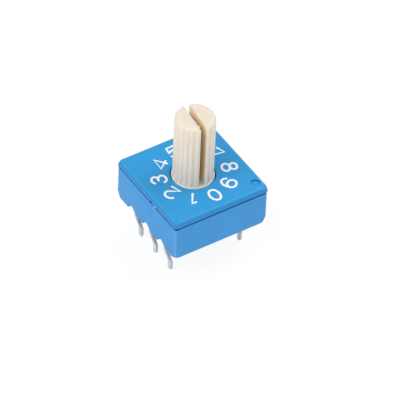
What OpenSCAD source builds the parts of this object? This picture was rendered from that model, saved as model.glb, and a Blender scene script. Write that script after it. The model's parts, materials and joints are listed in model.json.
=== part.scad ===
// Ten-position rotary coded switch for through-hole boards, with an endless fluted shaft.
// Millimetres, +Z up. The origin is on the shaft axis, in the plane of the board under the seat pad.
// The row of leads marked 1, common, 4 lies on the -X side. The shaft slot runs close to Y.

/* [Body] */
// Side of the square base
base_w = 10; // [9.8:0.05:10.4]
// Height of the body, from the lower edge of its walls to the top of the cover
body_h = 4.4; // [4.3:0.05:4.8]
// Height of the seat pad below the walls
seat_h = 0.1; // [0.05:0.05:0.3]
// Thickness of the walls
wall_t = 0.82; // [0.78:0.01:0.9]
// Thickness of the floor
floor_t = 1.1; // [1:0.05:1.2]
// Radius of the walls' upright corners
wall_corner_r = 0.14; // [0.12:0.01:0.3]
// Chamfer round the walls' top edge
wall_chamfer = 0.07; // [0.03:0.01:0.1]
// Height over which the walls' corners grow rounder towards their lower edge
foot_h = 0.64; // [0.4:0.02:0.8]
// Radius of the walls' corners at their lower edge
foot_corner_r = 0.6; // [0.3:0.02:1]
// Radius of the notch over each lead
notch_r = 0.54; // [0.45:0.01:0.6]
// Reach of the notch's flared side from the middle of the lead
flare_l = 0.95; // [0.7:0.05:1.1]
// Height of the notch's flared side
flare_h = 0.28; // [0.1:0.01:0.4]

/* [Cover] */
// How far the cover stands out past the base
overhang = 0.06; // [0.02:0.01:0.1]
// Radius of the cover's upright corners
cover_corner_r = 0.2; // [0.1:0.01:0.4]
// Radius of the corners of the cover's top face
cover_top_r = 0.85; // [0.2:0.01:0.95]
// Thickness of the cover at its edge
cover_t = 0.6; // [0.5:0.05:0.7]
// Chamfer round the cover's top edge
cover_chamfer = 0.15; // [0.05:0.01:0.17]
// Height of the groove between cover and walls
groove_h = 0.22; // [0.15:0.01:0.3]
// Depth of the groove between cover and walls
groove_d = 0.35; // [0.1:0.01:0.45]
// Radius of the hole that the rotor turns in
hole_r = 2.15; // [2.1:0.01:2.2]
// Wall of the bearing collar below the cover
collar_t = 0.45; // [0.3:0.05:0.5]
// Radius of the index dimple
dimple_r = 0.46; // [0.3:0.01:0.6]
// Depth of the index dimple
dimple_d = 0.15; // [0.05:0.01:0.2]
// Distance of the index dimple from the cover's +X edge
dimple_inset_x = 0.75; // [0.7:0.01:1]
// Distance of the index dimple from the cover's -Y edge
dimple_inset_y = 1.09; // [0.7:0.01:1.2]

/* [Rotor] */
// Height of the shaft above the cover
shaft_h = 7.16; // [3:0.01:15]
// Radius of the shaft over its flutes
shaft_r = 1.93; // [1.7:0.01:1.98]
// Number of flutes round the shaft
flutes = 22; // [16:1:26]
// Depth of a flute
flute_d = 0.13; // [0.05:0.01:0.18]
// Radius of the cutter that forms a flute
flute_cut_r = 0.2; // [0.18:0.01:0.25]
// Chamfer at the shaft's top edge
shaft_chamfer = 0.15; // [0.05:0.01:0.3]
// Width of the slot across the shaft
slot_w = 0.55; // [0.3:0.01:0.9]
// Turn of the slot from the Y axis, clockwise from above
slot_turn = 6; // [0:1:20]
// Thickness of the detent disc
disc_t = 0.65; // [0.5:0.01:0.7]
// Gap between the detent disc and the walls
disc_gap = 0.33; // [0.28:0.01:0.4]
// Height of the rim that closes the hole in the cover
rim_h = 0.3; // [0.2:0.05:0.35]
// Gap round that rim
rim_gap = 0.12; // [0.08:0.01:0.15]
// Radius of the lower pivot
pivot_r = 0.6; // [0.4:0.05:0.65]
// Wall of the boss that the lower pivot turns in
boss_t = 0.4; // [0.3:0.05:0.45]

/* [Switching] */
// Number of switch positions in a turn
positions = 10; // [8:1:10]
// Depth of a detent in the disc
detent_d = 0.2; // [0.1:0.01:0.25]
// Half width of a detent
detent_half_w = 0.7; // [0.6:0.01:0.75]
// Thickness of the click spring
click_t = 0.1; // [0.08:0.01:0.12]
// Thickness of the code disc
code_t = 0.15; // [0.1:0.01:0.2]
// Radius of the innermost track, at its middle
track_r = 1.45; // [1.43:0.01:1.5]
// Share of the distance between two tracks that each of them fills
track_share = 0.68; // [0.6:0.01:0.75]
// Thickness of a contact spring
contact_t = 0.08; // [0.06:0.01:0.1]

/* [O-ring] */
// Thickness of the ring's round section
ring_d = 0.54; // [0.5:0.01:0.56]

/* [Leads] */
// Distance between neighbouring leads
lead_pitch = 2.54; // [2.4:0.02:2.6]
// Distance between the two rows at the board
row_spacing = 7.62; // [7.4:0.02:7.8]
// Distance from the outside of the walls to the middle of a lead
lead_inset = 0.66; // [0.6:0.01:0.7]
// Width of a lead
lead_w = 0.5; // [0.4:0.05:0.6]
// Thickness of a lead
lead_t = 0.25; // [0.2:0.01:0.28]
// Length of the leads below the board plane
lead_l = 3.75; // [3.4:0.05:5]
// Height of the joggle, where the leads step in to the row spacing
joggle_h = 1.98; // [1.8:0.02:2.2]
// Height below the board plane at which the joggle starts
joggle_drop = 0.85; // [0.6:0.05:1]

/* [Clearances] */
// Running clearance between the rotor and its two bearings
run_gap = 0.06; // [0.03:0.01:0.08]
// End play of the rotor between its two thrust faces
end_gap = 0.05; // [0.03:0.01:0.07]
// Gap between what slides past something without being carried by it
slide_gap = 0.02; // [0.01:0.01:0.03]
// Gap round what is staked or fitted
fit_gap = 0.02; // [0.01:0.01:0.04]

/* [Hidden] */
$fn = 64;
bits = 4;

// How far joined shapes run into each other, and how far a cutter runs past what it cuts
bite = 0.05;
past = 1;

// Room above the detent disc for the click spring, and length of the hub below the code disc
click_rise = 0.55;
hub_h = 0.12;

// Levels, from the board plane up
wall_z = seat_h;
floor_z = wall_z + floor_t;
foot_z = floor_z + lead_t;
lid_z = wall_z + body_h;
plate_z = lid_z - cover_t;
base_z = plate_z - groove_h;
disc_z = base_z - click_t - click_rise;
web_z = disc_z - disc_t;
code_z = web_z - code_t;
hub_z = code_z - hub_h;
boss_z = hub_z - end_gap;

// Body
cover_w = base_w + 2 * overhang;
cavity_w = base_w - 2 * wall_t;
cavity_r = 1.2;
foot_top_z = wall_z + foot_h;
notch_l = 1.5;
notch_x = base_w / 2 - notch_l;
pad_gap = 0.2;
pad_inset = 0.9;
pad_w = [2 * (notch_x - pad_gap), base_w - 2 * pad_inset];
pad_r = 0.5;
post_drop = 0.4;
post_gap = 0.2;

// Rotor
disc_r = cavity_w / 2 - disc_gap;
collar_r = hole_r + collar_t;
journal_r = hole_r - run_gap;
rim_r = hole_r - rim_gap;
ring_neck_r = hole_r - slide_gap - ring_d;
ring_z = lid_z - rim_h - ring_d / 2 - 2 * slide_gap;
boss_r = pivot_r + run_gap + boss_t;
pivot_end_gap = 0.05;

// Code disc and its tracks
code_inset = 0.1;
code_rim = 0.13;
code_out_r = disc_r - code_inset;
track_pitch = (code_out_r - code_rim - track_r) / (bits + track_share / 2);
track_w = track_share * track_pitch;
hub_rim = 0.24;
hub_r = track_r - track_w / 2 - hub_rim;

// Click spring: a ring with two noses, held by two stakes
click_gap = 0.15;
click_inset = 0.05;
click_in_r = collar_r + click_gap;
click_out_r = disc_r - click_inset;
click_run = 2.1;
click_nose_r = 0.4;
click_bend_r = 0.6;
stake_r = 0.18;
stake_h = 0.28;
stake_x = (click_in_r + click_out_r) / 2;

// Terminals: each row's name, side, place along the row, track and direction of its contact
TERMINALS = [
    ["1", -1, -1, 4, 228],
    ["common_a", -1, 0, 0, 180],
    ["4", -1, 1, 2, 142],
    ["2", 1, -1, 3, -60],
    ["common_b", 1, 0, 0, 0],
    ["8", 1, 1, 1, 41]
];
foot_l = 1.08;
foot_x = cavity_w / 2 - foot_l;
lead_x = base_w / 2 - lead_inset;
bend_facets = 8;
lead_bend_r = 0.25;
joggle_bend_r = 0.55;
contact_inset = 0.16;
contact_x = cavity_w / 2 - contact_inset;
contact_pad = 0.55;
contact_tip_w = track_w - 2 * slide_gap;
contact_bend_r = 0.3;
contact_nose_r = 0.35;
contact_dip = 35;
contact_tail = 0.05;

function terminal_of(name) = [for (t = TERMINALS) if (t[0] == name) t][0];
function bit_of(position, bit) = floor(position / pow(2, bit)) % 2;
function step_angle() = 360 / positions;
function middle_r(track) = track_r + track * track_pitch;

// Number of positions in a row, from this one on, at which the bit stays off
function off_run(position, bit, n = 0) =
    n < positions && bit_of((position + n) % positions, bit) == 0
        ? off_run(position, bit, n + 1)
        : n;

// An S-shaped rise through a height h over a run d: a bend, a straight and an opposite bend.
// r is the sum of the two bend radii. These give the straight's slope and its length.
function rise_angle(d, h, r) = atan2(h - r, d) + asin(r / norm([d, h - r]));
function rise_length(d, h, r) = sqrt(d * d + h * h - 2 * h * r);

// ---- Shared shapes ----

module rounded_square(size, r) {
    square([size[0] - 2 * r, size[1]], center = true);
    square([size[0], size[1] - 2 * r], center = true);
    for (x = [-1, 1], y = [-1, 1])
        translate([x * (size[0] / 2 - r), y * (size[1] / 2 - r)])
            circle(r);
}

// A square plate with a chamfer round its top face, whose corners grow rounder towards the top
module chamfered_plate(w, h, r, c, top_r) {
    hull() {
        linear_extrude(c)
            rounded_square([w, w], r);
        linear_extrude(h - c)
            rounded_square([w, w], (r + top_r) / 2);
        linear_extrude(h)
            rounded_square([w - 2 * c, w - 2 * c], top_r);
    }
}

// A flat arc of rectangular section
module arc_bar(r_in, r_out, h, start, sweep) {
    rotate([0, 0, start])
        rotate_extrude(angle = sweep)
            translate([r_in, 0])
                square([r_out - r_in, h]);
}

// Points along one side of a bent strip, at a distance to the left of its middle line.
// Each step is [straight length, turn to the left, bend radius at the middle line].
function strip_side(steps, left, p = [0, 0], heading = 0, i = 0) =
    i == len(steps) ? [] :
    let (
        turn = steps[i][1],
        r = sign(turn) * steps[i][2],
        centre = p + steps[i][0] * [cos(heading), sin(heading)] + r * [-sin(heading), cos(heading)],
        next = heading + turn,
        count = turn == 0 ? 0 : bend_facets
    )
    concat(
        [
            for (k = [0:count])
                let (a = heading + turn * k / bend_facets)
                    centre + (r - left) * [sin(a), -cos(a)]
        ],
        strip_side(steps, left, centre + r * [sin(next), -cos(next)], next, i + 1)
    );

// A bent strip of sheet that starts along +X with its middle plane at Z = 0
module bent_strip(w, t, steps) {
    upper = concat([[0, t / 2]], strip_side(steps, t / 2));
    lower = concat([[0, -t / 2]], strip_side(steps, -t / 2));
    last = len(lower) - 1;
    rotate([90, 0, 0])
        linear_extrude(w, center = true)
            polygon(concat(upper, [for (i = [0:last]) lower[last - i]]));
}

// ---- Housing ----

module cover() {
    color("dodgerblue")
        difference() {
            union() {
                translate([0, 0, plate_z])
                    chamfered_plate(cover_w, cover_t, cover_corner_r, cover_chamfer, cover_top_r);
                translate([0, 0, base_z])
                    linear_extrude(groove_h + bite)
                        rounded_square([base_w - 2 * groove_d, base_w - 2 * groove_d], wall_corner_r);
                translate([0, 0, disc_z + end_gap])
                    cylinder(h = plate_z - disc_z - end_gap, r = collar_r);
                cover_posts();
                for (x = [-1, 1])
                    translate([x * stake_x, 0, base_z - stake_h])
                        cylinder(h = stake_h + bite, r = stake_r);
            }
            translate([0, 0, disc_z])
                cylinder(h = lid_z, r = hole_r);
            translate([cover_w / 2 - dimple_inset_x, dimple_inset_y - cover_w / 2, lid_z - dimple_d])
                cylinder(h = past, r = dimple_r);
        }
}

// Four corner posts that centre the cover in the base
module cover_posts() {
    post_w = cavity_w - 2 * fit_gap;
    translate([0, 0, base_z - post_drop])
        linear_extrude(post_drop + bite)
            difference() {
                rounded_square([post_w, post_w], cavity_r - fit_gap);
                circle(disc_r + post_gap);
            }
}

module base() {
    color("cornflowerblue")
        difference() {
            union() {
                walls();
                linear_extrude(floor_z)
                    rounded_square(pad_w, pad_r);
            }
            difference() {
                translate([0, 0, floor_z])
                    linear_extrude(body_h)
                        rounded_square([cavity_w, cavity_w], cavity_r);
                cylinder(h = boss_z, r = boss_r);
            }
            translate([0, 0, floor_z])
                cylinder(h = body_h, r = pivot_r + run_gap);
            for (t = TERMINALS)
                terminal_seat(t);
        }
}

// The outside of the walls: their corners grow rounder towards the lower edge
module walls() {
    hull() {
        translate([0, 0, foot_top_z])
            chamfered_plate(base_w, base_z - foot_top_z, wall_corner_r, wall_chamfer, wall_corner_r);
        translate([0, 0, wall_z])
            linear_extrude(foot_h)
                rounded_square([base_w, base_w], foot_corner_r);
    }
}

// What one terminal needs in the base: the notch over its lead and the room it is moulded into
module terminal_seat(t) {
    scale([t[1], 1, 1])
        translate([0, t[2] * lead_pitch, 0]) {
            translate([notch_x, 0, wall_z])
                rotate([90, 0, 90])
                    linear_extrude(base_w) {
                        circle(notch_r);
                        polygon([
                            [-flare_l, -past],
                            [notch_r, -past],
                            [notch_r, 0],
                            [0, flare_h],
                            [-notch_r, flare_h],
                            [-flare_l, 0]
                        ]);
                    }
            terminal_strip();
        }
}

// A foot on the floor, a leg down through the floor, a joggle inwards and a tail
module terminal_strip() {
    shift = lead_x - row_spacing / 2;
    angle = rise_angle(joggle_h, shift, 2 * joggle_bend_r);
    slope = rise_length(joggle_h, shift, 2 * joggle_bend_r);
    foot_mid_z = floor_z + lead_t / 2;
    translate([foot_x, 0, foot_mid_z])
        bent_strip(lead_w, lead_t, [
            [lead_x - foot_x - lead_bend_r, -90, lead_bend_r],
            [foot_mid_z - lead_bend_r + joggle_drop, -angle, joggle_bend_r],
            [slope, angle, joggle_bend_r],
            [lead_l - joggle_drop - joggle_h, 0, 0]
        ]);
}

module terminal(name) {
    t = terminal_of(name);
    color("silver")
        scale([t[1], 1, 1])
            translate([0, t[2] * lead_pitch, 0])
                intersection() {
                    terminal_strip();
                    lead_outline();
                }
}

// Front outline of a lead, with its round tip
module lead_outline() {
    rotate([90, 0, 90])
        linear_extrude(base_w) {
            translate([0, lead_w / 2 - lead_l])
                circle(lead_w / 2);
            translate([-lead_w / 2, lead_w / 2 - lead_l])
                square([lead_w, lead_l + foot_z]);
        }
}

module contact(name) {
    t = terminal_of(name);
    root = [t[1] * contact_x, t[2] * lead_pitch];
    tip = middle_r(t[3]) * [cos(t[4]), sin(t[4])];
    reach = tip - root;
    rise = code_z - slide_gap - foot_z - contact_t;
    bends = contact_bend_r + contact_nose_r;
    angle = rise_angle(norm(reach) - contact_pad, rise, bends);
    color("gold")
        translate([root[0], root[1], foot_z + contact_t / 2])
            rotate([0, 0, atan2(reach[1], reach[0])])
                intersection() {
                    bent_strip(lead_w, contact_t, [
                        [contact_pad, angle, contact_bend_r],
                        [rise_length(norm(reach) - contact_pad, rise, bends), -angle - contact_dip, contact_nose_r],
                        [contact_tail, 0, 0]
                    ]);
                    contact_outline(norm(reach));
                }
}

// Plan of a contact spring: it narrows from its pad to its tip
module contact_outline(length) {
    linear_extrude(body_h, center = true)
        polygon([
            [0, -lead_w / 2],
            [contact_pad, -lead_w / 2],
            [length, -contact_tip_w / 2],
            [length + past, -contact_tip_w / 2],
            [length + past, contact_tip_w / 2],
            [length, contact_tip_w / 2],
            [contact_pad, lead_w / 2],
            [0, lead_w / 2]
        ]);
}

// A spring ring whose two noses press into opposite detents
module click_spring() {
    bends = click_nose_r + click_bend_r;
    nose_out_r = click_nose_r + click_t / 2;
    nose_seat = nose_out_r * (1 / cos(atan(detent_d / detent_half_w)) - 1) + slide_gap;
    nose_z = disc_z - detent_d + nose_seat + click_t / 2;
    flat_z = base_z - click_t / 2;
    angle = rise_angle(click_run, flat_z - nose_z, bends);
    slope = rise_length(click_run, flat_z - nose_z, bends);
    color("lightgray")
        difference() {
            intersection() {
                translate([-click_out_r, 0, flat_z])
                    bent_strip(2 * click_out_r, click_t, [
                        [click_out_r - click_run, -angle, click_bend_r],
                        [slope, 2 * angle, click_nose_r],
                        [slope, -angle, click_bend_r],
                        [click_out_r - click_run, 0, 0]
                    ]);
                cylinder(h = lid_z, r = click_out_r);
            }
            cylinder(h = lid_z, r = click_in_r);
            for (x = [-1, 1])
                translate([x * stake_x, 0, disc_z])
                    cylinder(h = lid_z, r = stake_r + fit_gap);
        }
}

// ---- Turning parts ----

module rotor() {
    color("linen")
        difference() {
            union() {
                fluted_shaft();
                rotate_extrude()
                    rotor_profile();
                for (bit = [0:bits - 1])
                    code_windows(bit, fit_gap, code_z, web_z + bite);
            }
            rotate([0, 0, -slot_turn])
                translate([-slot_w / 2, -shaft_r - past, lid_z])
                    cube([slot_w, 2 * (shaft_r + past), shaft_h + past]);
            for (i = [0:positions - 1])
                rotate([0, 0, i * step_angle()])
                    detent();
        }
}

module rotor_profile() {
    polygon([
        [0, floor_z + pivot_end_gap],
        [pivot_r, floor_z + pivot_end_gap],
        [pivot_r, hub_z],
        [hub_r, hub_z],
        [hub_r, web_z],
        [disc_r, web_z],
        [disc_r, disc_z],
        [journal_r, disc_z],
        [journal_r, ring_z - ring_d / 2 - slide_gap],
        [ring_neck_r, ring_z - ring_d / 2 - slide_gap],
        [ring_neck_r, lid_z - rim_h],
        [rim_r, lid_z - rim_h],
        [rim_r, lid_z],
        [0, lid_z]
    ]);
}

module fluted_shaft() {
    translate([0, 0, lid_z])
        difference() {
            union() {
                translate([0, 0, -bite])
                    cylinder(h = shaft_h - shaft_chamfer + bite, r = shaft_r);
                translate([0, 0, shaft_h - shaft_chamfer])
                    cylinder(h = shaft_chamfer, r1 = shaft_r, r2 = shaft_r - shaft_chamfer);
            }
            for (i = [0:flutes - 1])
                rotate([0, 0, (i + 0.5) * 360 / flutes])
                    translate([shaft_r - flute_d + flute_cut_r, 0, 0])
                        cylinder(h = shaft_h + past, r = flute_cut_r, $fn = 24);
        }
}

// One V-shaped radial groove in the top of the disc, along +Y
module detent() {
    translate([0, (collar_r + click_in_r) / 2, disc_z])
        rotate([-90, 0, 0])
            linear_extrude(disc_r)
                polygon([
                    [-detent_half_w, 0],
                    [0, detent_d],
                    [detent_half_w, 0],
                    [detent_half_w, -past],
                    [-detent_half_w, -past]
                ]);
}

// The openings of one bit's track, where its contact meets plastic and the bit is off,
// drawn between two levels and smaller all round by a gap
module code_windows(bit, gap, from_z, to_z) {
    t = terminal_of(str(pow(2, bit)));
    r = middle_r(t[3]);
    for (i = [0:positions - 1])
        if (bit_of(i, bit) == 0 && bit_of((i + positions - 1) % positions, bit) == 1)
            let (trim = gap / r * 180 / PI, sweep = off_run(i, bit) * step_angle())
                translate([0, 0, from_z])
                    arc_bar(
                        r - track_w / 2 + gap,
                        r + track_w / 2 - gap,
                        to_z - from_z,
                        t[4] + (i - 0.5) * step_angle() + trim,
                        sweep - 2 * trim
                    );
}

module code_disc() {
    color("goldenrod")
        difference() {
            translate([0, 0, code_z])
                cylinder(h = code_t, r = code_out_r);
            cylinder(h = lid_z, r = hub_r + fit_gap);
            for (bit = [0:bits - 1])
                code_windows(bit, 0, hub_z, disc_z);
        }
}

module o_ring() {
    color("dimgray")
        translate([0, 0, ring_z])
            rotate_extrude()
                translate([hole_r - slide_gap - ring_d / 2, 0])
                    circle(ring_d / 2, $fn = 32);
}

cover();
base();
rotor();
code_disc();
o_ring();
click_spring();
terminal("1");  // terminal_1
terminal("2");  // terminal_2
terminal("4");  // terminal_4
terminal("8");  // terminal_8
terminal("common_a");  // terminal_common_a
terminal("common_b");  // terminal_common_b
contact("1");  // contact_1
contact("2");  // contact_2
contact("4");  // contact_4
contact("8");  // contact_8
contact("common_a");  // contact_common_a
contact("common_b");  // contact_common_b
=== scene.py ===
"""Looks of a ten-position rotary coded switch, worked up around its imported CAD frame."""

import json
import math

import bpy
from mathutils import Matrix, Vector

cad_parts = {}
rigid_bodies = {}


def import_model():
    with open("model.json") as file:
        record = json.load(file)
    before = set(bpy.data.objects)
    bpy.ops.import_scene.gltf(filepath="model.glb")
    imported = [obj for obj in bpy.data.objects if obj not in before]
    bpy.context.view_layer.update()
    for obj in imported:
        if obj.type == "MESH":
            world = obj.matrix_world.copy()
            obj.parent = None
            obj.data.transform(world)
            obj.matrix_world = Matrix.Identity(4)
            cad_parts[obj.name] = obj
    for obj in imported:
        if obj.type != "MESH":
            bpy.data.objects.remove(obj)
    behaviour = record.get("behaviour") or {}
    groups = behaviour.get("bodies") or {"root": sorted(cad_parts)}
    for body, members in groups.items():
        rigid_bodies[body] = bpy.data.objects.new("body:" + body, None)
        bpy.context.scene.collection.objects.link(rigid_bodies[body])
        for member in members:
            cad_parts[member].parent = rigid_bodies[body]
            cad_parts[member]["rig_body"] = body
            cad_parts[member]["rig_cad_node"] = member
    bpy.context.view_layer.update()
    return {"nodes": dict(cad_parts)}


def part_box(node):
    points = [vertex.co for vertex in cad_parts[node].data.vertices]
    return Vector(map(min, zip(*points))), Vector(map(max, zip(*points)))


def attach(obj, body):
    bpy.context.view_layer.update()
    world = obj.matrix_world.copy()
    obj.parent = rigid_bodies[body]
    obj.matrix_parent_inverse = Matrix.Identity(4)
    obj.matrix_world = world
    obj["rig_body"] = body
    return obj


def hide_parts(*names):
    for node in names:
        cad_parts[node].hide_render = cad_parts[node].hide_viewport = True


bl_info = {
    "name": "Rotary coded switch",
    "version": (1, 0, 0),
    "blender": (4, 5, 0),
    "location": "3D View > Sidebar > Switch",
    "description": "Moulded, stamped and printed pieces of a rotary coded switch",
    "category": "Object",
}

MM = 0.001

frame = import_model()


# ---- Where the CAD puts things, in millimetres ----


def level(node, top):
    """Height of a CAD node's lowest or highest point, in millimetres."""
    low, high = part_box(node)
    return (high if top else low).z / MM


LID_Z = level("cover", True)
WALL_TOP_Z = level("base", True)
SEAT_Z = level("base", False)
SHAFT_TOP_Z = level("rotor", True)
TIP_Z = level("terminal_1", False)
COVER_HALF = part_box("cover")[1].x / MM
BASE_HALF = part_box("base")[1].x / MM
JOINT_TOP_Z = WALL_TOP_Z + 0.22
DIMPLE_X, DIMPLE_Y, DIMPLE_R = COVER_HALF - 0.75, 1.09 - COVER_HALF, 0.46
SHAFT_R = 1.93
SLOT_TURN, SLOT_HALF = math.radians(6), 0.275
LEAD_PITCH, LEAD_HALF = 2.54, 0.25
FLOOR_Z = TIP_Z - 0.01


# ---- Marks that moulding and handling leave, in millimetres ----

MARK_X, MARK_Y = 2.4, 3.2
GATE_R, GATE_D = 0.5, 0.15
NICK_Y = -0.78
NICK_IN_COVER = (0.3, 0.3, 0.36)
NICK_IN_BASE = (0.2, 0.3, 0.2)
CORNER = BASE_HALF - 0.06
FLASH = (  # name, middle, half sizes, turn in degrees, seed
    ("joint_flash", (-BASE_HALF, NICK_Y - 0.62, (WALL_TOP_Z + JOINT_TOP_Z) / 2), (0.1, 0.11, 0.15), 0, 3),
    ("corner_flash", (-CORNER, CORNER, 0.74), (0.08, 0.14, 0.035), 45, 5),
    ("gate_stub", (0, 0, SEAT_Z + GATE_D), (0.22, 0.2, 0.13), 0, 7),
)
BURRS = (  # name, distance along the slot from the shaft's axis, half sizes, seed
    ("slot_burr_1", -0.62, (0.06, 0.26, 0.05), 11),
    ("slot_burr_2", -1.18, (0.13, 0.2, 0.06), 12),
)


# ---- Where the finishes change: heights at which a soft step starts and ends, in millimetres ----

JOINT_FOOT = WALL_TOP_Z - 0.05, WALL_TOP_Z - 0.02
JOINT_HEAD = JOINT_TOP_Z + 0.04, JOINT_TOP_Z + 0.08
COVER_SIDE_TOP = LID_Z - 0.1, LID_Z - 0.03
COVER_RIM = LID_Z - 0.05, LID_Z - 0.02
DIMPLE_RIM = LID_Z - 0.04, LID_Z - 0.02
DIMPLE_FLOOR = LID_Z - 0.2, LID_Z - 0.18
DIMPLE_MOUTH = LID_Z - 0.06, LID_Z - 0.03
SHAFT_FOOT = LID_Z - 0.05, LID_Z + 0.05
ROTOR_RIM = LID_Z + 0.01, LID_Z + 0.06
SLOT_MOUTH = SHAFT_TOP_Z - 1.6, SHAFT_TOP_Z
SHAFT_END = SHAFT_TOP_Z - 0.12, SHAFT_TOP_Z - 0.02
LEAD_TIP = TIP_Z + 0.03, TIP_Z + 0.09
LEAD_SHADE_RISE = TIP_Z + 1.0, TIP_Z + 2.0


# ---- Bare colours, and tints that multiply a moulding's own colour ----

WHITE = (1, 1, 1)
SHEEN_BLUE = (0.5, 0.85, 1)
# Painted shade for the leads under the body: a brown for the tin, and a darker alloy beside the bare one.
LEAD_UPPER_SHADE = (0.52, 0.43, 0.36)
CUT_ALLOY, SHADED_ALLOY = (0.64, 0.61, 0.58), (0.40, 0.31, 0.24)
# Painted shade on the cover's sides, as a tint of the moulding's own colour.
SIDE_SHADE_TINT = (0.72, 0.83, 0.92)
# Painted shade in the joint between cover and base, and deeper painted shade on one side of it.
JOINT_SHADE = (0.05, 0.64, 0.82)
JOINT_DEEP_SHADE = (0.02, 0.22, 0.46)
# Painted shade round the dimple's wall.
DIMPLE_SHADE = (0.2, 0.34, 0.5)
# Painted warm shade in the rotor's slot, and painted warm light towards its mouth.
SLOT_SHADE = (0.80, 0.70, 0.52), (0.88, 0.80, 0.62)
SLOT_MOUTH_WARM_LIGHT = (1.0, 0.9, 0.66)
TOP_WARM = (0.94, 0.93, 0.88)


# ---- Sizes and colours that a user may change ----


def length(name, description, default):
    """A size in millimetres, shown as a plain number."""
    return bpy.props.FloatProperty(
        name=name, description=description + ", in millimetres", default=default, min=0, precision=3
    )


def colour(name, description, default):
    """A linear colour."""
    return bpy.props.FloatVectorProperty(
        name=name, description=description, default=default, size=3, min=0, max=1, subtype="COLOR"
    )


class SwitchSizes(bpy.types.PropertyGroup):
    """Sizes of the details, in millimetres."""

    digit_h: length("Digit height", "Height of a printed digit", 1.69)
    digit_stroke: length("Digit stroke", "Width of a printed stroke", 0.235)
    digit_ring_r: length("Digit ring", "Radius of the ring that the digits stand on", 3.4)
    print_off: bpy.props.FloatVectorProperty(
        name="Print offset",
        description="How far the print lies off the centre, in millimetres",
        default=(0.13, -0.03),
        size=2,
        subtype="XYZ",
    )
    print_turn: bpy.props.FloatProperty(
        name="Print turn",
        description="How far the print is turned",
        default=math.radians(2.1),
        subtype="ANGLE",
    )
    print_t: length("Print thickness", "How far the print stands up from the cover", 0.02)
    edge_r: length("Moulded edge", "Rounding of an edge that the mould leaves", 0.03)
    base_edge_r: length("Base edge", "Rounding of the base's edges", 0.05)
    shaft_top_r: length("Shaft top", "Rounding of the edge round the shaft's top", 0.36)
    mouth_c: length("Slot mouth", "Chamfer of the slot's mouth", 0.12)
    mark_r: length("Ejector mark", "Radius of an ejector pin's mark", 0.5)
    mark_d: length("Mark depth", "Depth of an ejector pin's mark", 0.04)
    lead_edge_r: length("Lead edge", "Rounding of the leads' stamped edges", 0.045)


class SwitchColours(bpy.types.PropertyGroup):
    """Colours of the finishes."""

    cover: colour("Cover", "Blue of the cover", (0.026, 0.328, 0.700))
    base: colour("Base", "Blue of the base", (0.048, 0.335, 0.755))
    shaft: colour("Shaft", "Cream of the rotor and its shaft", (0.86, 0.77, 0.67))
    tin: colour("Tin", "Tinned leads", (0.84, 0.835, 0.82))
    gold: colour("Gold", "Gold plated contacts", (0.83, 0.62, 0.28))
    steel: colour("Steel", "Click spring", (0.62, 0.62, 0.63))
    rubber: colour("Rubber", "Shaft seal", (0.02, 0.02, 0.022))
    ink: colour("Ink", "Printed digits", (0.96, 0.98, 1.0))


# ---- Shader maths ----


class Wire:
    """A shader value that takes part in Python sums; each sum adds its Math node."""

    def __init__(self, nodes, socket):
        self.nodes = nodes
        self.socket = socket

    def maths(self, operation, *values):
        return self.nodes.add("ShaderNodeMath", {"operation": operation}, values)

    def __add__(self, other):
        return self.maths("ADD", self, other)

    def __radd__(self, other):
        return self.maths("ADD", other, self)

    def __sub__(self, other):
        return self.maths("SUBTRACT", self, other)

    def __rsub__(self, other):
        return self.maths("SUBTRACT", other, self)

    def __mul__(self, other):
        return self.maths("MULTIPLY", self, other)

    def __rmul__(self, other):
        return self.maths("MULTIPLY", other, self)

    def __abs__(self):
        return self.maths("ABSOLUTE", self)

    def root(self):
        return self.maths("SQRT", self)

    def greater(self, other):
        return self.maths("MAXIMUM", self, other)

    def lesser(self, other):
        return self.maths("MINIMUM", self, other)

    def wrapped(self, low, high):
        """Starts again from low wherever it passes high."""
        return self.maths("WRAP", self, high, low)

    def between(self, low, high):
        """0 below low, 1 above high and a smooth rise between them."""
        return self.nodes.add(
            "ShaderNodeMapRange",
            {"interpolation_type": "SMOOTHSTEP"},
            {"Value": self, "From Min": low, "From Max": high},
        )

    def near(self, middle, reach):
        """1 at a value, falling smoothly to 0 at a reach to either side."""
        return 1 - abs(self - middle).between(0, reach)


class Nodes:
    """The nodes of a world or a material in the making."""

    def __init__(self, tree):
        self.tree = tree

    def add(self, kind, settings, sockets, output=0):
        """One node: its type, its settings, the values or links of its sockets, and what is read from it."""
        node = self.tree.nodes.new(kind)
        for name, value in settings.items():
            setattr(node, name, value)
        named = sockets.items() if isinstance(sockets, dict) else enumerate(sockets)
        for key, value in named:
            self.feed(node.inputs[key], value)
        return Wire(self, node.outputs[output])

    def feed(self, socket, value):
        if isinstance(value, Wire):
            self.tree.links.new(value.socket, socket)
        else:
            socket.default_value = value

    def rays(self):
        """1 for what the camera sees itself, and 1 for what it sees mirrored."""
        path = self.tree.nodes.new("ShaderNodeLightPath")
        return [Wire(self, path.outputs[name]) for name in ("Is Camera Ray", "Is Glossy Ray")]


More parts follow.
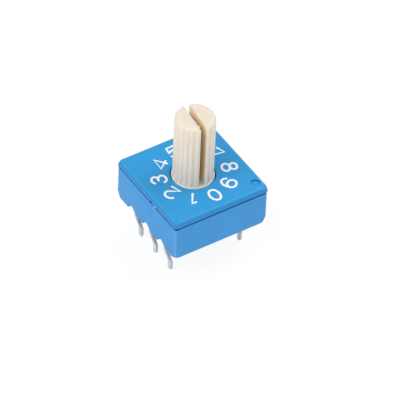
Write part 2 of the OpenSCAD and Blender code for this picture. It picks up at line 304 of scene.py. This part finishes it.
class Finish(Nodes):
    """A material in the making. What is the same all over goes on the shader's own sockets."""

    def __init__(self, name, **constants):
        self.material = bpy.data.materials.new(name)
        self.material.use_nodes = True
        super().__init__(self.material.node_tree)
        self.shader = self.tree.nodes["Principled BSDF"]
        for socket, value in constants.items():
            self.shader.inputs[socket.replace("_", " ")].default_value = value

    def place(self):
        """Object coordinates in millimetres."""
        here = self.add("ShaderNodeTexCoord", {}, {}, "Object")
        return self.add("ShaderNodeVectorMath", {"operation": "SCALE"}, {"Vector": here, "Scale": 1 / MM})

    def axes(self, place):
        """The three numbers of a place."""
        split = self.add("ShaderNodeSeparateXYZ", {}, [place]).socket.node
        return [Wire(self, split.outputs[axis]) for axis in "XYZ"]

    def stretched(self, place, factors):
        return self.add("ShaderNodeVectorMath", {"operation": "MULTIPLY"}, [place, factors])

    def noise(self, place, scale, detail=3.0, roughness=0.5):
        return self.add(
            "ShaderNodeTexNoise",
            {},
            {"Vector": place, "Scale": scale, "Detail": detail, "Roughness": roughness},
            "Fac",
        )

    def blend(self, share, first, second):
        """Colour that goes from the first to the second as the share goes from 0 to 1."""
        node = self.tree.nodes.new("ShaderNodeMix")
        node.data_type = "RGBA"
        colours = [s for s in node.inputs if s.type == "RGBA"]
        self.feed(node.inputs["Factor"], share)
        for socket, value in zip(colours, (first, second)):
            self.feed(socket, value if isinstance(value, Wire) else (*value, 1))
        return Wire(self, [s for s in node.outputs if s.type == "RGBA"][0])

    def paint(self, value):
        self.feed(self.shader.inputs["Base Color"], value)

    def roughen(self, value):
        self.feed(self.shader.inputs["Roughness"], value)

    def emboss(self, height, distance):
        """Bump of a height map, whose full height is a distance in millimetres."""
        normal = self.add("ShaderNodeBump", {}, {"Height": height, "Distance": distance * MM}, "Normal")
        self.feed(self.shader.inputs["Normal"], normal)


def shade(tone, factor):
    """A colour made darker or lighter."""
    return tuple(min(1.0, c * factor) for c in tone)


def tinted(tone, tint):
    """A colour with each of its three parts multiplied by a factor."""
    return tuple(c * factor for c, factor in zip(tone, tint))


def mixed(first, second, share):
    """A colour that has gone a share of the way from the first to the second."""
    return tuple(a + (b - a) * share for a, b in zip(first, second))


# ---- Finishes, with widths in millimetres ----


def moulded_blue(name, tone, half):
    """Satin polyamide with spark-eroded grain and flow marks, painted highlights on its upright edges,
    painted shade on the cover's sides, and painted shade in the joint and dimple.
    """
    finish = Finish(name, Roughness=0.42, Specular_IOR_Level=0.3)
    place = finish.place()
    x, y, z = finish.axes(place)
    outer, inner = abs(x).greater(abs(y)), abs(x).lesser(abs(y))
    from_dimple = ((x - DIMPLE_X) * (x - DIMPLE_X) + (y - DIMPLE_Y) * (y - DIMPLE_Y)).root()
    above_joint = z.between(*JOINT_HEAD)
    cloud = finish.noise(place, scale=0.55, detail=2)
    grain = finish.noise(place, scale=22)
    flow = finish.noise(finish.stretched(place, (0.5, 0.5, 2.6)), scale=1.3, detail=4, roughness=0.6)
    look = finish.blend(cloud * 0.6 + flow * 0.4, shade(tone, 0.88), shade(tone, 1.12))

    # Painted highlights make the upright edges pale.
    upright_edge_highlight = inner.between(half - 0.24, half - 0.08)
    look = finish.blend(upright_edge_highlight * (0.4 + cloud * 0.5), look, mixed(tone, WHITE, 0.13))

    # Painted shade makes the cover's sides darker than its top.
    cover_side_shade = above_joint * (1 - z.between(*COVER_SIDE_TOP)) * outer.between(half - 0.25, half - 0.15)
    look = finish.blend(cover_side_shade, look, tinted(tone, SIDE_SHADE_TINT))

    # The rims of the cover, the dimple and the walls catch the light.
    cover_rim = outer.near(half - 0.19, 0.1) * z.between(*COVER_RIM)
    dimple_rim = from_dimple.near(DIMPLE_R + 0.03, 0.07) * z.between(*DIMPLE_RIM)
    wall_rim = z.near(WALL_TOP_Z - 0.11, 0.09)
    rims = cover_rim + dimple_rim + wall_rim
    look = finish.blend(rims * (0.4 + cloud * 0.9), look, mixed(tone, SHEEN_BLUE, 0.08))

    # Painted shade lies in the joint, darkest on one side, and round the dimple's wall.
    joint = z.between(*JOINT_FOOT) * (1 - above_joint)
    shaded_side = (0 - x).between(half - 0.5, half - 0.1)
    joint_shade_tone = finish.blend(shaded_side, tinted(tone, JOINT_SHADE), tinted(tone, JOINT_DEEP_SHADE))
    look = finish.blend(joint, look, joint_shade_tone)
    # Painted shade on the dimple's wall, as shade falls in a recess.
    inside_dimple = z.between(*DIMPLE_FLOOR) * (1 - z.between(*DIMPLE_MOUTH))
    dimple_wall = from_dimple.near(DIMPLE_R, 0.07) * inside_dimple
    look = finish.blend(dimple_wall * (0.8 + cloud * 0.5), look, tinted(tone, DIMPLE_SHADE))

    finish.paint(look)
    finish.roughen(0.36 + grain * 0.10 + flow * 0.06)
    finish.emboss(grain + flow * 0.5, 0.006)
    return finish.material


def pale_flash_blue(name, tone):
    """Flash and torn gates, paler than the moulding and whitish in patches."""
    finish = Finish(name, Roughness=0.5)
    patches = finish.noise(finish.place(), scale=5)
    finish.paint(finish.blend(patches, mixed(tone, WHITE, 0.15), mixed(tone, WHITE, 0.5)))
    finish.emboss(patches, 0.01)
    return finish.material


def moulded_cream(name, tone):
    """Natural polyester: pale top, a painted highlight on the rim, greyer towards the body, painted warm
    shade in the slot, with draw lines.
    """
    finish = Finish(
        name,
        Roughness=0.45,
        Specular_IOR_Level=0.4,
        Subsurface_Weight=0.7,
        Subsurface_Radius=(1.0, 0.75, 0.45),
        Subsurface_Scale=0.9 * MM,
    )
    place = finish.place()
    x, y, z = finish.axes(place)
    cloud = finish.noise(place, scale=0.8)
    draw = finish.noise(finish.stretched(place, (9.0, 9.0, 0.35)), scale=1)
    mottle = finish.noise(place, scale=3.2, detail=4, roughness=0.62)
    low = finish.blend(cloud, shade(tone, 0.88), shade(tone, 0.95))
    high = finish.blend(cloud, shade(tone, 0.97), shade(tone, 1.04))
    look = finish.blend(z.between(LID_Z, SHAFT_TOP_Z), low, high)

    # Painted shade makes the slot's walls tan, and painted warm light makes them amber towards its mouth.
    across = abs(x * math.cos(SLOT_TURN) - y * math.sin(SLOT_TURN))
    in_slot = (1 - across.between(SLOT_HALF, SLOT_HALF + 0.05)) * z.between(*SHAFT_FOOT)
    slot_shade_tone = finish.blend(cloud, *(tinted(tone, tint) for tint in SLOT_SHADE))
    walls = finish.blend(z.between(*SLOT_MOUTH), slot_shade_tone, tinted(tone, SLOT_MOUTH_WARM_LIGHT))
    look = finish.blend(in_slot * 0.9, look, walls)

    # The top is mottled, and a painted highlight makes the rim in the cover's hole pale.
    warm = tinted(tone, TOP_WARM)
    top = finish.blend(mottle.between(0.3, 0.7), warm, mixed(warm, WHITE, 0.2))
    look = finish.blend(z.between(*SHAFT_END), look, top)
    look = finish.blend(1 - z.between(*ROTOR_RIM), look, mixed(tone, WHITE, 0.45))

    finish.paint(look)
    finish.roughen(0.38 + draw * 0.12)
    finish.emboss(draw + mottle * 0.6, 0.008)
    return finish.material


def bright_metal(name, tone, rough):
    """Plated or rolled sheet with fine lines along its length."""
    finish = Finish(name, Metallic=0.92, Roughness=rough)
    place = finish.place()
    lines = finish.noise(finish.stretched(place, (0.15, 1.0, 1.0)), scale=26)
    stain = finish.noise(place, scale=2.2)
    finish.paint(finish.blend(stain * 0.7 + lines * 0.3, shade(tone, 0.82), shade(tone, 1.14)))
    finish.roughen(rough - 0.06 + lines * 0.14)
    finish.emboss(lines, 0.004)
    return finish.material


def tinned_strip(name, tone):
    """Tinned strip, cut after plating: bare alloy on its edges, and painted shade towards the body."""
    finish = Finish(name, Metallic=0.9, Roughness=0.3)
    place = finish.place()
    y, z = finish.axes(place)[1:]
    lines = finish.noise(finish.stretched(place, (1.0, 1.0, 0.15)), scale=24)
    stain = finish.noise(finish.stretched(place, (1.0, 1.0, 0.6)), scale=3, detail=4, roughness=0.6)
    off_middle = abs(y.wrapped(-LEAD_PITCH / 2, LEAD_PITCH / 2))
    edge = off_middle.between(LEAD_HALF - 0.08, LEAD_HALF - 0.01)
    tip = 1 - z.between(*LEAD_TIP)
    # Painted shade darkens the tin and the bare alloy towards the body, where the leads lie under it.
    high = z.between(*LEAD_SHADE_RISE)
    tin = finish.blend(stain.between(0.3, 0.7), shade(tone, 0.88), shade(tone, 1.16))
    shaded_tin = finish.blend(high * (0.3 + stain * 0.5), tin, LEAD_UPPER_SHADE)
    alloy = finish.blend(high, CUT_ALLOY, SHADED_ALLOY)
    finish.paint(finish.blend(edge.greater(tip) * (0.4 + stain * 0.6), shaded_tin, alloy))
    finish.roughen(0.22 + lines * 0.14 + stain * 0.10)
    finish.emboss(lines + stain, 0.006)
    return finish.material


def seal_rubber(name, tone):
    """Smooth black rubber with a little talc."""
    finish = Finish(name, Roughness=0.6)
    talc = finish.noise(finish.place(), scale=6, detail=4)
    finish.paint(finish.blend(talc.between(0.55, 0.8), tone, shade(WHITE, 0.09)))
    finish.roughen(0.5 + talc * 0.2)
    return finish.material


def printed_ink(name, tone):
    """White pad print, a little thinner in places."""
    finish = Finish(name, Roughness=0.5)
    place = finish.place()
    cover = finish.noise(place, scale=7)
    finish.paint(finish.blend(cover.between(0.35, 0.7), shade(tone, 0.94), tone))
    finish.emboss(finish.noise(place, scale=30, detail=2), 0.003)
    return finish.material


# ---- Modelling helpers. Pieces are made in millimetres and brought to metres at the end ----


def only(*objects):
    """Selects these objects and nothing else, the last one active."""
    bpy.ops.object.select_all(action="DESELECT")
    for one in objects:
        one.select_set(True)
        bpy.context.view_layer.objects.active = one


def settled(piece):
    """Puts a piece's place, turn and scale into its mesh."""
    only(piece)
    bpy.ops.object.transform_apply(location=True, rotation=True, scale=True)
    return piece


def modify(piece, kind, **settings):
    """Adds a modifier to a piece, sets it and applies it."""
    only(piece)
    bpy.ops.object.modifier_add(type=kind)
    modifier = piece.modifiers[-1]
    for name, value in settings.items():
        setattr(modifier, name, value)
    bpy.ops.object.modifier_apply(modifier=modifier.name)
    if not piece.data.polygons:
        raise RuntimeError(f"{kind} left nothing of {piece.name}")


def working_copy(node, name):
    """A copy of a CAD node, in millimetres, with its loose triangles joined into whole faces."""
    only(frame["nodes"][node])
    bpy.ops.object.duplicate()
    piece = bpy.context.object
    piece.name = piece.data.name = name
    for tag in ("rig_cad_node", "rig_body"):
        del piece[tag]
    piece.parent = None
    piece.data.materials.clear()
    piece.scale = (1 / MM,) * 3
    settled(piece)
    bpy.ops.mesh.customdata_custom_splitnormals_clear()
    bpy.ops.object.mode_set(mode="EDIT")
    bpy.ops.mesh.select_all(action="SELECT")
    bpy.ops.mesh.remove_doubles(threshold=0.0005)
    bpy.ops.mesh.dissolve_limited(angle_limit=math.radians(0.6))
    bpy.ops.object.mode_set(mode="OBJECT")
    return piece


def round_edges(piece, width, segments=3, sharper_than=28):
    """Rounds every edge that turns by more than an angle in degrees."""
    modify(
        piece,
        "BEVEL",
        width=width,
        segments=segments,
        limit_method="ANGLE",
        angle_limit=math.radians(sharper_than),
        miter_outer="MITER_ARC",
    )


def carve(piece, *cutters):
    """Cuts each cutter out of a piece."""
    for cutter in cutters:
        modify(piece, "BOOLEAN", object=cutter, operation="DIFFERENCE", solver="EXACT")
        only(cutter)
        bpy.ops.object.delete()


def block(middle, size, turn=(0, 0, 0)):
    """A cutter with flat sides."""
    only()
    bpy.ops.mesh.primitive_cube_add(size=1, location=middle, rotation=turn)
    bpy.context.object.scale = size
    return settled(bpy.context.object)


def rod(middle, radius, height, sides=96):
    """An upright round cutter."""
    only()
    bpy.ops.mesh.primitive_cylinder_add(vertices=sides, radius=radius, depth=height, location=middle)
    return bpy.context.object


def drill(x, y, radius, depth):
    """A round cutter that reaches a depth up into the seat."""
    return rod((x, y, SEAT_Z), radius, 2 * depth, sides=48)


def collar(radius, top, rounding):
    """A cutter that rounds the edge round an upright shaft's top: a ring less a core with a rounded edge."""
    below, above, outside = 0.4, 0.2, 0.4
    core_h, core_rise = 4, 0.01
    core = rod((0, 0, top + core_rise - core_h / 2), radius, core_h)
    round_edges(core, rounding, segments=6, sharper_than=60)
    cutter = rod((0, 0, top + (above - below) / 2), radius + outside, below + above)
    carve(cutter, core)
    return cutter


def crumb(name, middle, half_sizes, turn, seed):
    """A small lump of plastic, such as flash or a burr, with an uneven skin."""
    only()
    bpy.ops.mesh.primitive_ico_sphere_add(subdivisions=4, radius=1, location=middle, rotation=(0, 0, turn))
    lump = bpy.context.object
    lump.name = lump.data.name = name
    bpy.ops.object.mode_set(mode="EDIT")
    bpy.ops.mesh.select_all(action="SELECT")
    bpy.ops.transform.vertex_random(offset=0.16, seed=seed)
    bpy.ops.mesh.vertices_smooth(factor=0.6, repeat=3)
    bpy.ops.mesh.normals_make_consistent(inside=False)
    bpy.ops.object.mode_set(mode="OBJECT")
    lump.scale = half_sizes
    return settled(lump)


def into_place(piece, body, material, smooth=35):
    """Brings a piece made in millimetres to metres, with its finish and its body."""
    piece.scale = (MM,) * 3
    settled(piece)
    bpy.ops.object.shade_smooth_by_angle(angle=math.radians(smooth))
    piece.data.materials.clear()
    piece.data.materials.append(material)
    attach(piece, body)


def wear(node, material):
    """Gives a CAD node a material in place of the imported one."""
    slots = frame["nodes"][node].material_slots
    if not slots:
        frame["nodes"][node].data.materials.append(material)
    for slot in slots:
        slot.material = material


# ---- Digits, drawn as pen strokes in a frame one unit high above and below its middle ----


def arc(x, y, rx, ry, start, end):
    """Points of part of an ellipse, between two angles in degrees."""
    steps = max(6, round(abs(end - start) / 9))
    angles = (math.radians(start + (end - start) * i / steps) for i in range(steps + 1))
    return [(x + rx * math.cos(a), y + ry * math.sin(a)) for a in angles]


def ring(x, y, rx, ry):
    """A whole ellipse, which starts and ends at its top."""
    return arc(x, y, rx, ry, 90, 450)


def half_turned(strokes):
    """A digit's strokes turned half round in its own frame."""
    return [[(-x, -y) for x, y in stroke] for stroke in strokes]


NINE = [ring(0.08, 0.40, 0.69, 0.59), arc(0.04, 0, 0.73, 1.0, 20, -145)]
DIGITS = [
    [ring(0.06, 0, 0.67, 0.97)],
    [[(0.10, -0.87), (0.10, 0.88), (-0.36, 0.62)]],
    [arc(-0.04, 0.38, 0.70, 0.60, 160, -35) + [(-0.70, -0.93), (0.66, -0.93)]],
    [arc(-0.03, 0.51, 0.59, 0.44, 160, -90) + [(-0.18, 0.07)], arc(-0.03, -0.45, 0.65, 0.52, 90, -165)],
    [[(0.39, -0.87), (0.39, 0.90), (-0.82, -0.52), (0.76, -0.52)]],
    [[(0.55, 0.94), (-0.49, 0.94), (-0.64, 0.07)] + arc(-0.04, -0.33, 0.70, 0.62, 140, -155)],
    half_turned(NINE),
    [[(-0.62, 0.87), (0.58, 0.87), (-0.47, -0.94)]],
    [ring(0, 0.51, 0.57, 0.46), ring(0, -0.49, 0.68, 0.51)],
    NINE,
]


def pen_stroke(points, radius):
    """A round bead along some points, with a ball at each end."""
    line = bpy.data.curves.new("stroke", "CURVE")
    line.dimensions = "3D"
    line.bevel_depth = radius
    line.bevel_resolution = 3
    line.use_fill_caps = True
    spline = line.splines.new("POLY")
    spline.points.add(len(points) - 1)
    for point, place in zip(spline.points, points):
        point.co = (*place, 1)
    bead = bpy.data.objects.new("stroke", line)
    bpy.context.collection.objects.link(bead)
    only(bead)
    bpy.ops.object.convert(target="MESH")
    balls = []
    for place in {points[0], points[-1]}:
        bpy.ops.mesh.primitive_uv_sphere_add(segments=16, ring_count=8, radius=radius, location=place)
        balls.append(bpy.context.object)
    only(*balls, bead)
    bpy.ops.object.join()
    return bead


# ---- Operators ----


class SWITCH_OT_terminals(bpy.types.Operator):
    """Terminals with rounded edges, as stamping leaves them"""

    bl_idname = "switch.terminals"
    bl_label = "Terminals"

    def execute(self, context):
        edge_r = context.scene.switch_sizes.lead_edge_r
        tin = tinned_strip("lead_tin", context.scene.switch_colours.tin)
        for node in frame["nodes"]:
            if node.startswith("terminal"):
                lead = working_copy(node, node + "_stamping")
                round_edges(lead, edge_r, sharper_than=50)
                into_place(lead, "housing", tin, smooth=50)
                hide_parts(node)
        return {"FINISHED"}


class SWITCH_OT_inner_pieces(bpy.types.Operator):
    """Finishes for the contacts, the code disc, the click spring and the seal"""

    bl_idname = "switch.inner_pieces"
    bl_label = "Inner pieces"

    def execute(self, context):
        tones = context.scene.switch_colours
        gold = bright_metal("contact_gold", tones.gold, 0.3)
        wear("click_spring", bright_metal("click_steel", tones.steel, 0.35))
        wear("o_ring", seal_rubber("ring_rubber", tones.rubber))
        for node in frame["nodes"]:
            if node == "code_disc" or node.startswith("contact"):
                wear(node, gold)
        return {"FINISHED"}


class SWITCH_OT_cover(bpy.types.Operator):
    """Cover with soft edges and a nick over its joint with the base"""

    bl_idname = "switch.cover"
    bl_label = "Cover"

    def execute(self, context):
        cover = working_copy("cover", "cover_moulding")
        carve(cover, block((-COVER_HALF, NICK_Y, JOINT_TOP_Z), NICK_IN_COVER))
        round_edges(cover, context.scene.switch_sizes.edge_r)
        blue = moulded_blue("cover_blue", context.scene.switch_colours.cover, COVER_HALF)
        into_place(cover, "housing", blue)
        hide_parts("cover")
        return {"FINISHED"}


class SWITCH_OT_base(bpy.types.Operator):
    """Base with soft edges, ejector marks and a gate under it, and bits of flash"""

    bl_idname = "switch.base"
    bl_label = "Base"

    def execute(self, context):
        sizes = context.scene.switch_sizes
        tone = context.scene.switch_colours.base
        base = working_copy("base", "base_moulding")
        marks = [
            drill(x, y, sizes.mark_r, sizes.mark_d) for x in (-MARK_X, MARK_X) for y in (-MARK_Y, MARK_Y)
        ]
        gate = drill(0, 0, GATE_R, GATE_D)
        nick = block((-BASE_HALF, NICK_Y, WALL_TOP_Z), NICK_IN_BASE)
        carve(base, *marks, gate, nick)
        round_edges(base, sizes.base_edge_r)
        into_place(base, "housing", moulded_blue("base_blue", tone, BASE_HALF))
        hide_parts("base")
        pale_flash = pale_flash_blue("flash_blue", tone)
        for name, middle, half_sizes, turn, seed in FLASH:
            bit = crumb(name, middle, half_sizes, math.radians(turn), seed)
            into_place(bit, "housing", pale_flash, smooth=60)
        return {"FINISHED"}


class SWITCH_OT_rotor(bpy.types.Operator):
    """Rotor whose slot has a chamfered mouth, with a burr on one side"""

    bl_idname = "switch.rotor"
    bl_label = "Rotor"

    def execute(self, context):
        sizes = context.scene.switch_sizes
        rotor = working_copy("rotor", "rotor_moulding")
        slack = 0.005
        mouth_w, mouth_l = math.sqrt(2) * (SLOT_HALF + sizes.mouth_c), 6.0
        turn = Matrix.Rotation(-SLOT_TURN, 3, "Z") @ Matrix.Rotation(math.radians(45), 3, "Y")
        carve(rotor, collar(SHAFT_R + slack, SHAFT_TOP_Z, sizes.shaft_top_r))
        carve(rotor, block((0, 0, SHAFT_TOP_Z), (mouth_w, mouth_l, mouth_w), turn.to_euler()))
        round_edges(rotor, sizes.edge_r)
        cream = moulded_cream("rotor_cream", context.scene.switch_colours.shaft)
        into_place(rotor, "rotor", cream)
        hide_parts("rotor")
        for name, along, half_sizes, seed in BURRS:
            middle = (
                along * math.sin(SLOT_TURN) - SLOT_HALF * math.cos(SLOT_TURN),
                along * math.cos(SLOT_TURN) + SLOT_HALF * math.sin(SLOT_TURN),
                SHAFT_TOP_Z - sizes.mouth_c,
            )
            burr = crumb(name, middle, half_sizes, -SLOT_TURN, seed)
            into_place(burr, "rotor", cream, smooth=60)
        return {"FINISHED"}


class SWITCH_OT_digits(bpy.types.Operator):
    """Print the ten digits round the shaft, with their tops outwards"""

    bl_idname = "switch.digits"
    bl_label = "Digits"

    def execute(self, context):
        sizes = context.scene.switch_sizes
        radius = sizes.digit_stroke / 2
        beads = []
        for digit, strokes in enumerate(DIGITS):
            for stroke in strokes:
                beads.append(pen_stroke(self.on_ring(stroke, digit, sizes), radius))
        only(*beads)
        bpy.ops.object.join()
        digits = bpy.context.object
        digits.name = digits.data.name = "printed_digits"
        settled(digits)
        modify(digits, "REMESH", mode="VOXEL", voxel_size=radius / 5)
        modify(digits, "SMOOTH", iterations=4)
        # The beads' round tops become flats as thick as the print, with steep sides.
        steepness = 2.2
        for vertex in digits.data.vertices:
            rise = vertex.co.z / radius * steepness * sizes.print_t
            vertex.co.z = LID_Z + max(-sizes.print_t, min(sizes.print_t, rise))
        ink = printed_ink("digit_ink", context.scene.switch_colours.ink)
        into_place(digits, "housing", ink)
        return {"FINISHED"}

    def on_ring(self, stroke, digit, sizes):
        """A stroke's points, brought from the digit's own frame to its place on the ring."""
        unit = sizes.digit_h / 2 - sizes.digit_stroke / 2
        out = sizes.print_turn - math.radians(90 + 360 / len(DIGITS) * digit)
        out_x, out_y = math.cos(out), math.sin(out)
        places = []
        for x, y in stroke:
            along, across = sizes.digit_ring_r + y * unit, x * unit
            places.append((
                sizes.print_off[0] + out_x * along + out_y * across,
                sizes.print_off[1] + out_y * along - out_x * across,
                0.0,
            ))
        return places


def towards(azimuth, elevation):
    """A unit vector at one angle from the front round to the right, and another above the level."""
    return Vector((
        math.sin(azimuth) * math.cos(elevation),
        -math.cos(azimuth) * math.cos(elevation),
        math.sin(elevation),
    ))


class SWITCH_OT_stage(bpy.types.Operator):
    """Set the floor, the lamps, the sky and the camera"""

    bl_idname = "switch.stage"
    bl_label = "Stage"

    def execute(self, context):
        self.floor()
        self.sky(context)
        self.lamps()
        self.camera(context)
        return {"FINISHED"}

    def floor(self):
        """A pale floor that shows white, and keeps the object's shadow."""
        pale = (0.92, 0.92, 0.92, 1)
        only()
        bpy.ops.mesh.primitive_plane_add(size=6.0, location=(0, 0, FLOOR_Z * MM))
        floor = bpy.context.object
        floor.name = "floor"
        finish = Finish("floor_white", Base_Color=pale, Roughness=0.9, Specular_IOR_Level=0.1)
        glow = finish.add("ShaderNodeEmission", {}, {"Color": (*WHITE, 1), "Strength": 1.04})
        seen, mirrored = finish.rays()
        share = seen * 0.86 + mirrored * 0.08
        plain = Wire(finish, finish.shader.outputs["BSDF"])
        lit = finish.add("ShaderNodeMixShader", {}, [share, plain, glow])
        finish.feed(finish.tree.nodes["Material Output"].inputs["Surface"], lit)
        floor.data.materials.append(finish.material)

    def sky(self, context):
        """A soft even light, seen as plain white."""
        world = bpy.data.worlds.new("studio")
        context.scene.world = world
        world.use_nodes = True
        nodes = Nodes(world.node_tree)
        soft = nodes.tree.nodes["Background"]
        nodes.feed(soft.inputs["Color"], (0.97, 0.985, 1.0, 1))
        nodes.feed(soft.inputs["Strength"], 0.5)
        white = nodes.add("ShaderNodeBackground", {}, {"Color": (*WHITE, 1), "Strength": 1.0})
        seen, mirrored = nodes.rays()
        share = seen + mirrored * 0.25
        light = nodes.add("ShaderNodeMixShader", {}, [share, Wire(nodes, soft.outputs["Background"]), white])
        nodes.feed(nodes.tree.nodes["World Output"].inputs["Surface"], light)

    def lamps(self):
        """Square lamps that face the middle, in degrees, metres and watts."""
        for name, azimuth, elevation, distance, size, power in (
            ("key", -88, 54, 0.5, 0.35, 1.05),
            ("front", -35, 30, 0.6, 0.4, 0.34),
            ("right", 85, 54, 0.3, 0.2, 0.27),
        ):
            back = towards(math.radians(azimuth), math.radians(elevation))
            only()
            bpy.ops.object.light_add(type="AREA", location=back * distance)
            lamp = bpy.context.object
            lamp.name = name
            lamp.rotation_euler = (-back).to_track_quat("-Z", "Y").to_euler()
            lamp.data.size = size
            lamp.data.energy = power

    def camera(self, context):
        """A long lens, shifted so that the middle of the cover falls on a set point of the image."""
        azimuth, elevation, roll = (math.radians(angle) for angle in (-34.10, 43.62, 2.51))
        distance = 536 * MM
        focal_px, image_px, sensor = 5812.0, 400.0, 36.0
        middle_px = (192.87, 173.42)
        back = towards(azimuth, elevation)
        level_right = Vector((math.cos(azimuth), math.sin(azimuth), 0))
        level_up = back.cross(level_right)
        right = math.cos(roll) * level_right + math.sin(roll) * level_up
        up = math.cos(roll) * level_up - math.sin(roll) * level_right
        only()
        bpy.ops.object.camera_add(location=Vector((0, 0, LID_Z * MM)) + back * distance)
        camera = bpy.context.object
        camera.name = "camera"
        camera.rotation_euler = Matrix((right, up, back)).transposed().to_euler()
        camera.data.sensor_width = sensor
        camera.data.lens = focal_px / image_px * sensor
        camera.data.shift_x = (image_px / 2 - middle_px[0]) / image_px
        camera.data.shift_y = (middle_px[1] - image_px / 2) / image_px
        camera.data.clip_start = 0.01
        camera.data.clip_end = 20
        context.scene.camera = camera
        context.scene.view_settings.view_transform = "Standard"


class SWITCH_PT_panel(bpy.types.Panel):
    """Lists the sizes, the colours and the operators"""

    bl_idname = "SWITCH_PT_panel"
    bl_label = "Rotary coded switch"
    bl_space_type = "VIEW_3D"
    bl_region_type = "UI"
    bl_category = "Switch"

    def draw(self, context):
        scene = context.scene
        for group in (scene.switch_sizes, scene.switch_colours):
            box = self.layout.box()
            for name in group.__annotations__:
                box.prop(group, name)
        for step in ("stage", "terminals", "inner_pieces", "cover", "base", "rotor", "digits"):
            self.layout.operator("switch." + step)


CLASSES = (
    SwitchSizes,
    SwitchColours,
    SWITCH_OT_stage,
    SWITCH_OT_terminals,
    SWITCH_OT_inner_pieces,
    SWITCH_OT_cover,
    SWITCH_OT_base,
    SWITCH_OT_rotor,
    SWITCH_OT_digits,
    SWITCH_PT_panel,
)


def register():
    for one in CLASSES:
        bpy.utils.register_class(one)
    bpy.types.Scene.switch_sizes = bpy.props.PointerProperty(type=SwitchSizes)
    bpy.types.Scene.switch_colours = bpy.props.PointerProperty(type=SwitchColours)


def unregister():
    del bpy.types.Scene.switch_colours
    del bpy.types.Scene.switch_sizes
    for one in reversed(CLASSES):
        bpy.utils.unregister_class(one)


def main():
    register()
    bpy.ops.switch.stage()
    bpy.ops.switch.terminals()
    bpy.ops.switch.inner_pieces()
    bpy.ops.switch.cover()
    bpy.ops.switch.base()
    bpy.ops.switch.rotor()
    bpy.ops.switch.digits()


if __name__ == "__main__":
    main()
